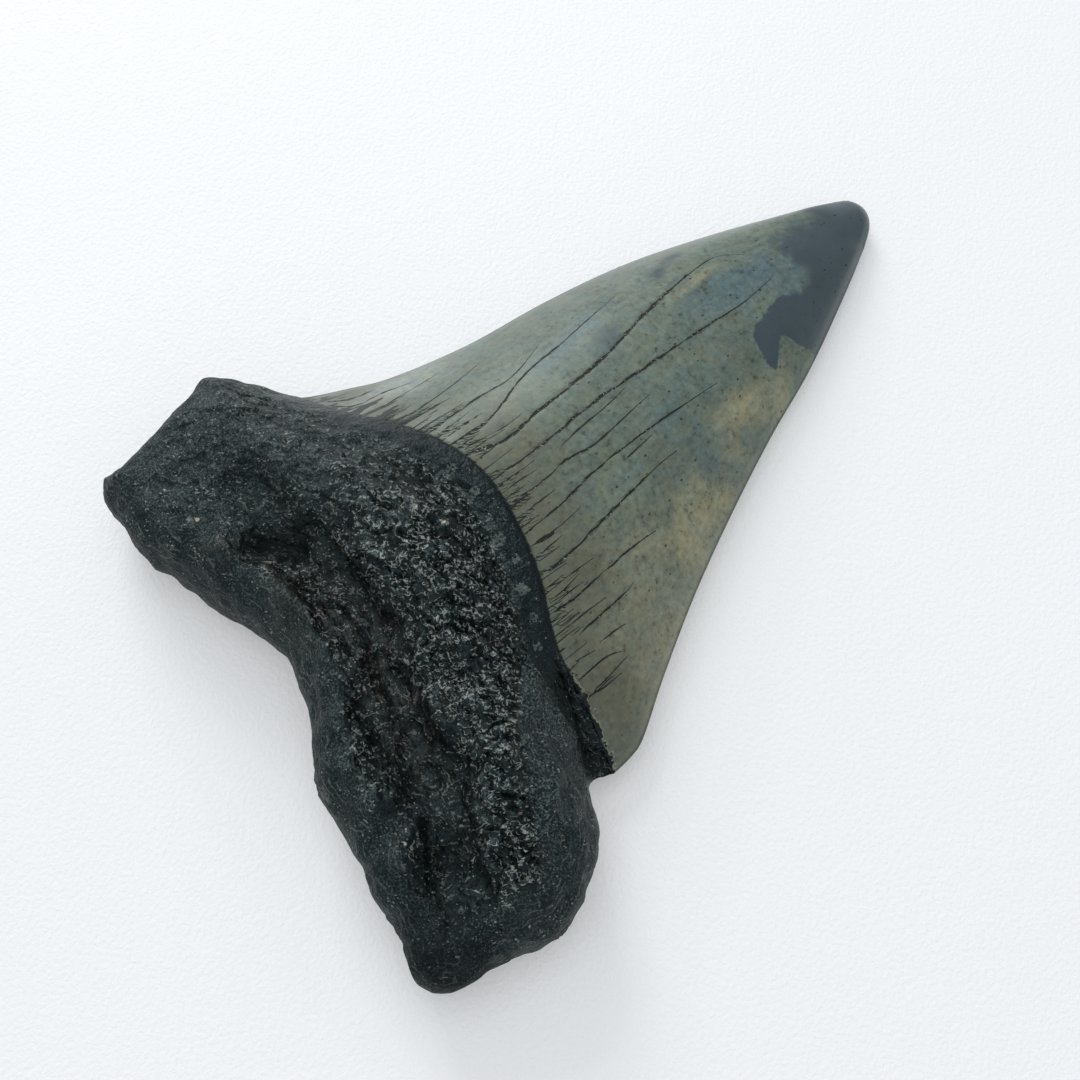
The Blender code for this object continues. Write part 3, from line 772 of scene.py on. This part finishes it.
class Nodes:
    """Makes a material's nodes, each joined to what it takes as it is made."""

    def __init__(self, name):
        self.material = bpy.data.materials.new(name)
        self.material.use_nodes = True
        self.tree = self.material.node_tree
        self.shader = self.tree.nodes["Principled BSDF"]

    def put(self, socket, value):
        if isinstance(value, bpy.types.NodeSocket):
            self.tree.links.new(value, socket)
        elif isinstance(value, tuple) and socket.type == "RGBA":
            socket.default_value = (*value, 1.0)
        else:
            socket.default_value = value

    def node(self, kind, inputs, **settings):
        node = self.tree.nodes.new("ShaderNode" + kind)
        for name, value in settings.items():
            setattr(node, name, value)
        for name, value in inputs.items():
            self.put(node.inputs[name], value)
        return node

    def math(self, operation, *values):
        return self.node("Math", dict(enumerate(values)), operation=operation).outputs[0]

    def chain(self, operation, values):
        """One number from many, taken in turn."""
        so_far = values[0]
        for value in values[1:]:
            so_far = self.math(operation, so_far, value)
        return so_far

    def product(self, *values):
        return self.chain("MULTIPLY", values)

    def total(self, *values):
        return self.chain("ADD", values)

    def largest(self, *values):
        return self.chain("MAXIMUM", values)

    def vector(self, operation, *values):
        return self.node("VectorMath", dict(enumerate(values)), operation=operation).outputs["Vector"]

    def part(self, vector, axis):
        return self.node("SeparateXYZ", {0: vector}).outputs[axis]

    def step(self, value, low, high):
        """0 where the value is low, 1 where it is high, and smooth between."""
        inputs = {"Value": value, "From Min": low, "From Max": high}
        return self.node("MapRange", inputs, interpolation_type="SMOOTHSTEP").outputs["Result"]

    def mix(self, share, low, high):
        inputs = {"Factor": share, 6: low, 7: high}
        return self.node("Mix", inputs, data_type="RGBA").outputs[2]

    def coats(self, colour, *coats):
        """A colour with others laid over it in turn, each with its share."""
        for share, tint in coats:
            colour = self.mix(share, colour, tint)
        return colour

    def blend(self, share, low, high):
        return self.node("Mix", {"Factor": share, 2: low, 3: high}).outputs[0]

    def noise(self, place, size, detail=2.0, rough=0.5, output="Fac"):
        """Cloudy noise about 0.5, with features of the given size in millimetres."""
        inputs = {"Vector": place, "Scale": 1 / size, "Detail": detail, "Roughness": rough}
        return self.node("TexNoise", inputs).outputs[output]

    def cells(self, place, size, feature="F1"):
        inputs = {"Vector": place, "Scale": 1 / size}
        return self.node("TexVoronoi", inputs, feature=feature).outputs

    def chance(self, cells):
        """A number from 0 to 1 that is the same all over a cell."""
        return self.part(cells["Color"], "X")

    def towards(self, cells, place, direction):
        """How far a place is from its cell's middle, along a direction."""
        offset = self.vector("SUBTRACT", place, cells["Position"])
        inputs = {0: offset, 1: direction}
        return self.node("VectorMath", inputs, operation="DOT_PRODUCT").outputs["Value"]

    def field(self, name, output="Fac"):
        return self.node("Attribute", {}, attribute_name=name).outputs[output]

    def place(self, turn=0.0, stretch=(1.0, 1.0, 1.0)):
        """Millimetre coordinates, stretched along axes that are turned about +Z."""
        position = self.node("TexCoord", {}).outputs["Object"]
        scale = tuple(METRES * s for s in stretch)
        inputs = {"Vector": position, "Scale": scale, "Rotation": (0.0, 0.0, math.radians(turn))}
        return self.node("Mapping", inputs, vector_type="TEXTURE").outputs["Vector"]

    def surface(self, relief, inputs):
        """The finished material: its relief in millimetres, and what else its shader takes."""
        bump = self.node("Bump", {"Height": relief, "Distance": METRES, "Strength": 1.0})
        self.put(self.shader.inputs["Normal"], bump.outputs["Normal"])
        for name, value in inputs.items():
            self.put(self.shader.inputs[name], value)
        return self.material


def root_material():
    """Black bone with a crust of chips, rims and worm-like ridges, smooth next to the enamel, with
    painted highlights, shadow and shade.
    """
    n = Nodes("black_root")
    p = n.place()
    coarse, relief, lip, glint, painted_shade, pale, enamel, inward = (n.field(name) for name in (
        "coarse", "relief", "rim", "glint", "painted_shade", "pale", "enamel", "inward"))
    cloud = n.noise(p, ROOT_CLOUD, 3.0, 0.6)
    crumb = n.noise(p, ROOT_CRUMB, 2.0, 0.6)
    drift = n.noise(p, ROOT_DRIFT, output="Color")
    bent = n.vector("MULTIPLY_ADD", drift, (0.8, 0.8, 0.8), p)
    bourlette = n.step(enamel, -3.4, -2.4)
    off_bourlette = n.step(bourlette, 1.0, 0.0)
    lit = n.blend(glint, 0.3, 1.0)

    # Small chips like the larger ones of the relief: a painted highlight along the lip, a painted
    # shadow just below it
    chips = n.cells(bent, SMALL_CHIP)
    chance = n.chance(chips)
    edge = n.cells(bent, SMALL_CHIP, "DISTANCE_TO_EDGE")["Distance"]
    towards_lip = n.towards(chips, bent, tuple(LIP_SIDE / SMALL_CHIP))
    bright = n.step(n.total(chance, glint, n.product(lip, 0.5)), 1.40, 1.55)
    small_rim_highlight = n.product(n.step(edge, 0.10, 0.03), n.step(towards_lip, 0.02, 0.14), bright)
    painted_undercut_shadow = n.product(n.step(edge, 0.26, 0.06), n.step(towards_lip, -0.02, -0.14))
    # Painted highlights on the larger lips, and in crescents round small pits
    lip_gap = n.math("ABSOLUTE", n.total(lip, n.product(crumb, 0.4), -0.85))
    pits = n.cells(bent, SMALL_PIT)
    pit_chance = n.chance(pits)
    ring = n.total(pits["Distance"], n.product(pit_chance, -0.25), -0.12)
    crescent_highlight = n.product(n.step(n.math("ABSOLUTE", ring), 0.09, 0.03),
                         n.step(n.towards(pits, bent, tuple(LIP_SIDE)), -0.05, 0.12),
                         n.step(n.total(pit_chance, glint), 1.0, 1.2))
    # Thin layers of bone, which end in long ragged lines: a painted highlight on each and a painted
    # shadow below it
    height = n.total(n.part(p, "Z"), n.product(n.noise(p, 1.2), 0.8))
    bed = n.math("FRACT", n.math("DIVIDE", height, BED_THICKNESS))
    bedded = n.step(n.noise(p, 2.0, 1.0), 0.46, 0.56)
    painted_undercut_shadow = n.largest(painted_undercut_shadow, n.product(n.step(bed, 0.78, 0.95), bedded))
    # All the painted highlights of the crust, broken up and weighed by how much each zone glints
    rim = n.largest(small_rim_highlight, n.product(n.step(lip_gap, 0.13, 0.04), 0.7),
                    n.product(crescent_highlight, 0.6), n.product(n.step(bed, 0.11, 0.03), bedded, 0.7))
    broken = n.step(n.noise(p, 0.42, 1.0), 0.42, 0.56)
    rim = n.product(rim, broken, coarse, lit, n.blend(bourlette, 1.0, 0.5))

    # Painted glints on the smooth parts, and light lines along the steep ones that also stand in for
    # highlights
    dots = n.cells(p, GLINT_DOT)
    dot = n.product(n.step(n.chance(dots), 0.74, 0.84), n.step(dots["Distance"], 0.19, 0.10))
    flake = n.noise(n.place(turn=-36.0, stretch=(1.0, 2.0, 1.0)), 0.2, 1.0)
    crowd = n.product(n.noise(p, 1.4, rough=0.6), 0.6)
    flakes = n.product(n.step(n.total(flake, crowd), 1.00, 1.06), off_bourlette)
    side = n.product(n.step(enamel, -3.0, -5.0), n.blend(coarse, 1.0, 0.0))
    flank = n.product(side, n.step(inward, 5.0, 2.5))
    lane = n.total(n.product(inward, 1.7), n.product(n.noise(p, 3.0, 3.0), 5.0))
    line = n.product(n.step(n.math("FRACT", lane), 0.30, 0.05), n.step(n.noise(p, 1.6), 0.46, 0.62))
    steepness = n.part(n.node("NewGeometry", {}).outputs["Normal"], "Z")
    side_line = n.product(line, flank, n.step(steepness, 0.97, 0.85), 0.34)
    painted_glints = n.product(n.largest(dot, flakes, side_line), 0.65)

    # Tone of the bone: random clouds and grains, and on the crust painted shade in its low parts and
    # painted light on its high ones
    grains = n.total(n.product(crumb, 0.8), n.product(cloud, 0.35))
    crust_tone_and_relief_shading = n.total(cloud, relief, n.product(crumb, 0.3))
    tone = n.total(n.blend(coarse, grains, crust_tone_and_relief_shading), n.product(bourlette, -0.25))
    brown = n.step(n.noise(p, 1.1, 3.0, 0.6), 0.38, 0.62)
    brown = n.product(n.field("brown"), brown, 0.7)
    # Fine pale speckle, partly the grain of the bone and partly a painted sheen on its smooth parts
    speckle_and_sheen = n.product(n.step(n.noise(p, 0.2, 1.0), 0.48, 0.66), n.step(coarse, 1.0, 0.3),
                        n.step(cloud, 0.15, 0.55), off_bourlette,
                        n.blend(flank, 1.0, 0.5), 0.75)
    spot = n.total(pale, n.product(crumb, 0.9), n.product(cloud, 0.6))
    grain = n.total(pale, n.product(crumb, 0.4))
    # Coats over the tone: brown stains, painted shadow under lips, speckle with painted sheen, painted
    # glints, spots, sand grains, and painted shade last
    colour = n.coats(
        n.mix(n.step(tone, 0.45, 0.9), ROOT_BLACK, ROOT_GREY), (brown, ROOT_BROWN),
        (n.product(painted_undercut_shadow, coarse, 0.9), BLACK), (speckle_and_sheen, ROOT_SPECKLE_AND_SHEEN), (rim, ROOT_PAINTED_GLINT),
        (painted_glints, ROOT_PAINTED_GLINT), (n.product(n.step(spot, 1.15, 1.28), 0.6), SPOT_GREY),
        (n.step(grain, 0.75, 0.9), GRAIN_PALE), (n.product(painted_shade, 0.85), BLACK))
    rough = n.total(n.product(crumb, 0.3), n.product(painted_shade, 0.3), n.product(side, 0.2),
                    n.product(glint, -0.2), 0.36)

    crust_bump = n.total(n.product(crumb, 0.10), n.product(towards_lip, 0.30), n.product(chance, 0.14))
    streak = n.noise(n.place(stretch=(5.0, 5.0, 0.5)), 0.6)
    smooth_bump = n.total(n.product(crumb, 0.22), n.product(n.noise(p, ROOT_LEATHER), 0.45),
                          n.product(streak, side, 0.16))
    return n.surface(n.blend(n.product(coarse, lit), smooth_bump, crust_bump), {
        "Base Color": colour, "Roughness": rough,
        "Specular IOR Level": ROOT_SPECULAR, "Specular Tint": ROOT_TINT})


def enamel_material():
    """Grey-green enamel: stains, clouds, dots, and cracks that crowd at the root, with a painted sheen
    at its left foot and painted shade and highlight along its cutting edges.
    """
    n = Nodes("cracked_enamel")
    p = n.place()
    round_marks, short_marks, marks, long_marks = (
        n.place(turn=CROWN_TURN, stretch=(1.0, length, 1.0)) for length in MARK_LENGTHS)
    enamel, inward, crack_width = (n.field(name) for name in ("enamel", "inward", "crack_width"))
    cloud = n.noise(p, ENAMEL_CLOUD, 4.0, 0.6)
    mottle = n.noise(p, ENAMEL_MOTTLE, 3.0, 0.7)
    streak = n.noise(marks, ENAMEL_MOTTLE)
    shade = n.total(n.product(cloud, 0.8), n.product(mottle, 1.4), n.product(streak, 0.5), -0.35)
    warm = n.step(n.noise(p, 2.4, 4.0, 0.65), 0.42, 0.58)
    hue = n.mix(warm, (0.94, 0.99, 1.03), (1.05, 1.01, 0.94))
    colour = n.vector("MULTIPLY", n.vector("MULTIPLY", n.field("stain_and_sheen", "Color"), shade), hue)

    # Slate-coloured tip: its border is sharp beside the patch and cloudy further up
    vague = n.step(n.part(p, "Y"), 27.5, 33.0)
    drift = n.product(n.total(n.noise(p, 3.0, 5.0, 0.6), -0.5), n.blend(vague, 1.2, 6.2))
    fray = n.product(n.total(n.noise(p, 0.8, 3.0, 0.6), -0.5), 1.1)
    border = n.total(n.field("slate"), drift, fray)
    width = n.blend(vague, 0.15, 1.55)
    slate = n.vector("MULTIPLY", SLATE, n.blend(cloud, 0.7, 1.3))
    dots = n.cells(round_marks, ENAMEL_DOT)
    dot = n.product(n.step(n.chance(dots), 0.45, 0.95), n.step(dots["Distance"], 0.19, 0.12), 0.8)
    cast = n.product(n.step(enamel, 8.0, 0.5), n.step(streak, 0.3, 0.6), 0.7)
    colour = n.coats(
        colour, (n.step(n.math("DIVIDE", border, width), -1.0, 1.0), slate),
        (n.product(n.step(mottle, 0.40, 0.31), 0.4), CRACK_BROWN_AND_EDGE_SHADE), (dot, CRACK_BLACK),
        (cast, TAUPE))

    # The measured cracks, dark and ragged, with a stain to each side
    wobble = n.total(n.noise(short_marks, 0.5, 3.0), -0.5)
    wobble = n.product(wobble, n.step(crack_width, 0.035, 0.12), 0.36)
    gap = n.math("ABSOLUTE", n.total(n.field("crack"), wobble))
    ragged = n.product(crack_width, n.blend(n.noise(marks, 0.35), -0.75, 2.25))
    share = n.math("DIVIDE", gap, n.largest(ragged, 0.02))
    clear = n.total(n.field("crack_gap"), n.product(crack_width, -2.0))
    near_crack = n.step(clear, 0.15, 0.05)
    crack = n.product(n.step(share, 1.5, 0.7), near_crack)
    smudge = n.blend(n.step(n.noise(marks, 1.1), 0.45, 0.62), 0.25, 0.75)
    speck = n.product(n.step(n.noise(p, 0.22, 1.0), 0.62, 0.7), n.step(crack_width, 0.06, 0.12),
                      n.step(share, 2.6, 1.2), near_crack, 0.45)

    # The root reaches into the enamel in long wedges at its left foot, in small nicks at its right
    across = n.part(p, "X")
    left, right = n.step(across, -11.0, -17.0), n.step(across, 13.0, 16.0)
    wedge = n.product(n.step(n.noise(long_marks, 1.0), 0.47, 0.72), 5.0)
    nick = n.total(n.noise(p, 0.9, 3.0, 0.6), -0.42)
    nick = n.largest(n.product(nick, 2.2), 0.0)
    reach = n.total(n.product(left, wedge), n.product(right, nick), n.product(mottle, 0.5), -0.15)
    past = n.math("SUBTRACT", enamel, reach)
    chipped = n.product(n.step(n.math("ABSOLUTE", n.total(past, -0.12)), 0.13, 0.04), right,
                        n.step(mottle, 0.42, 0.52), 0.3)
    # Painted shade as a dark line along the very edge of the cutting edges, and a painted highlight as
    # a paler line inside it
    colour = n.coats(
        colour, (n.product(n.step(share, 4.0, 0.8), near_crack, smudge), CRACK_BROWN_AND_EDGE_SHADE),
        (crack, CRACK_BLACK), (speck, CRACK_PALE_AND_EDGE_HIGHLIGHT),
        (n.product(n.step(inward, 0.9, 0.4), 0.1), CRACK_PALE_AND_EDGE_HIGHLIGHT),
        (n.product(n.step(inward, 0.3, 0.1), 0.5), CRACK_BROWN_AND_EDGE_SHADE),
        (n.step(past, 0.1, -0.05), ROOT_BLACK), (chipped, CRACK_PALE_AND_EDGE_HIGHLIGHT))
    rough = n.total(n.product(mottle, 0.2), n.product(crack, 0.3), 0.24)
    relief = n.total(n.product(n.noise(p, 2.0), 0.03), n.product(mottle, 0.012),
                     n.product(streak, 0.012), n.product(crack, -0.10))
    return n.surface(relief, {
        "Base Color": colour, "Roughness": rough,
        "Specular IOR Level": ENAMEL_SPECULAR, "Specular Tint": ENAMEL_TINT})


def floor_material():
    """White, finely grained table top, which glows faintly as painted light."""
    n = Nodes("pale_floor")
    p = n.place()
    grain = n.total(n.product(n.noise(p, 0.5, 3.0, 0.6), 0.14),
                    n.product(n.noise(p, 3.0), 0.05))
    return n.surface(grain, {
        "Base Color": n.mix(n.noise(p, 60.0), FLOOR_GREY, FLOOR_WHITE), "Roughness": 0.6,
        "Emission Color": FLOOR_GLOW_TINT, "Emission Strength": FLOOR_GLOW})


# ------------ floor, light and camera

picture_right = Vector((math.cos(VIEW_TURN), math.sin(VIEW_TURN), 0.0))
picture_up = Vector((-math.sin(VIEW_TURN), math.cos(VIEW_TURN), 0.0))
upward = Vector((0.0, 0.0, 1.0))
target = Vector(VIEW_TARGET) * METRES

floor_mesh = bpy.data.meshes.new("floor")
half = FLOOR_SIZE / 2
floor_mesh.from_pydata([(-half, -half, 0), (half, -half, 0), (half, half, 0), (-half, half, 0)],
                       [], [(0, 1, 2, 3)])
floor_mesh.materials.append(floor_material())
floor = add("floor", floor_mesh)

world = bpy.data.worlds.new("soft_room")
world.use_nodes = True
background = world.node_tree.nodes["Background"]
background.inputs["Color"].default_value = (*ROOM_TINT, 1.0)
background.inputs["Strength"].default_value = ROOM_GLOW
bpy.context.scene.world = world
bpy.context.scene.view_settings.view_transform = "Standard"

for name, right, up, height, size, power in SOFT_BOXES:
    light = bpy.data.lights.new(name, "AREA")
    light.size = size
    light.energy = power
    soft_box = add(name, light)
    soft_box.location = target + right * picture_right + up * picture_up + height * upward
    soft_box.rotation_mode = "QUATERNION"
    soft_box.rotation_quaternion = (target - soft_box.location).to_track_quat("-Z", "Y")

lens = bpy.data.cameras.new("camera")
lens.lens, lens.sensor_width = LENS, SENSOR
lens.clip_start, lens.clip_end = NEAREST_SEEN, FARTHEST_SEEN
camera = add("camera", lens)
back = -math.cos(VIEW_ELEVATION) * picture_up + math.sin(VIEW_ELEVATION) * upward
camera.matrix_world = Matrix.Translation(target + VIEW_DISTANCE * METRES * back) @ Matrix((
    picture_right, back.cross(picture_right), back)).transposed().to_4x4()
bpy.context.scene.camera = camera

# ------------ the tooth

tooth = make_tooth()
tooth.data.materials.append(root_material())
tooth.data.materials.append(enamel_material())
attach(tooth, "root")
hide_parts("tooth")
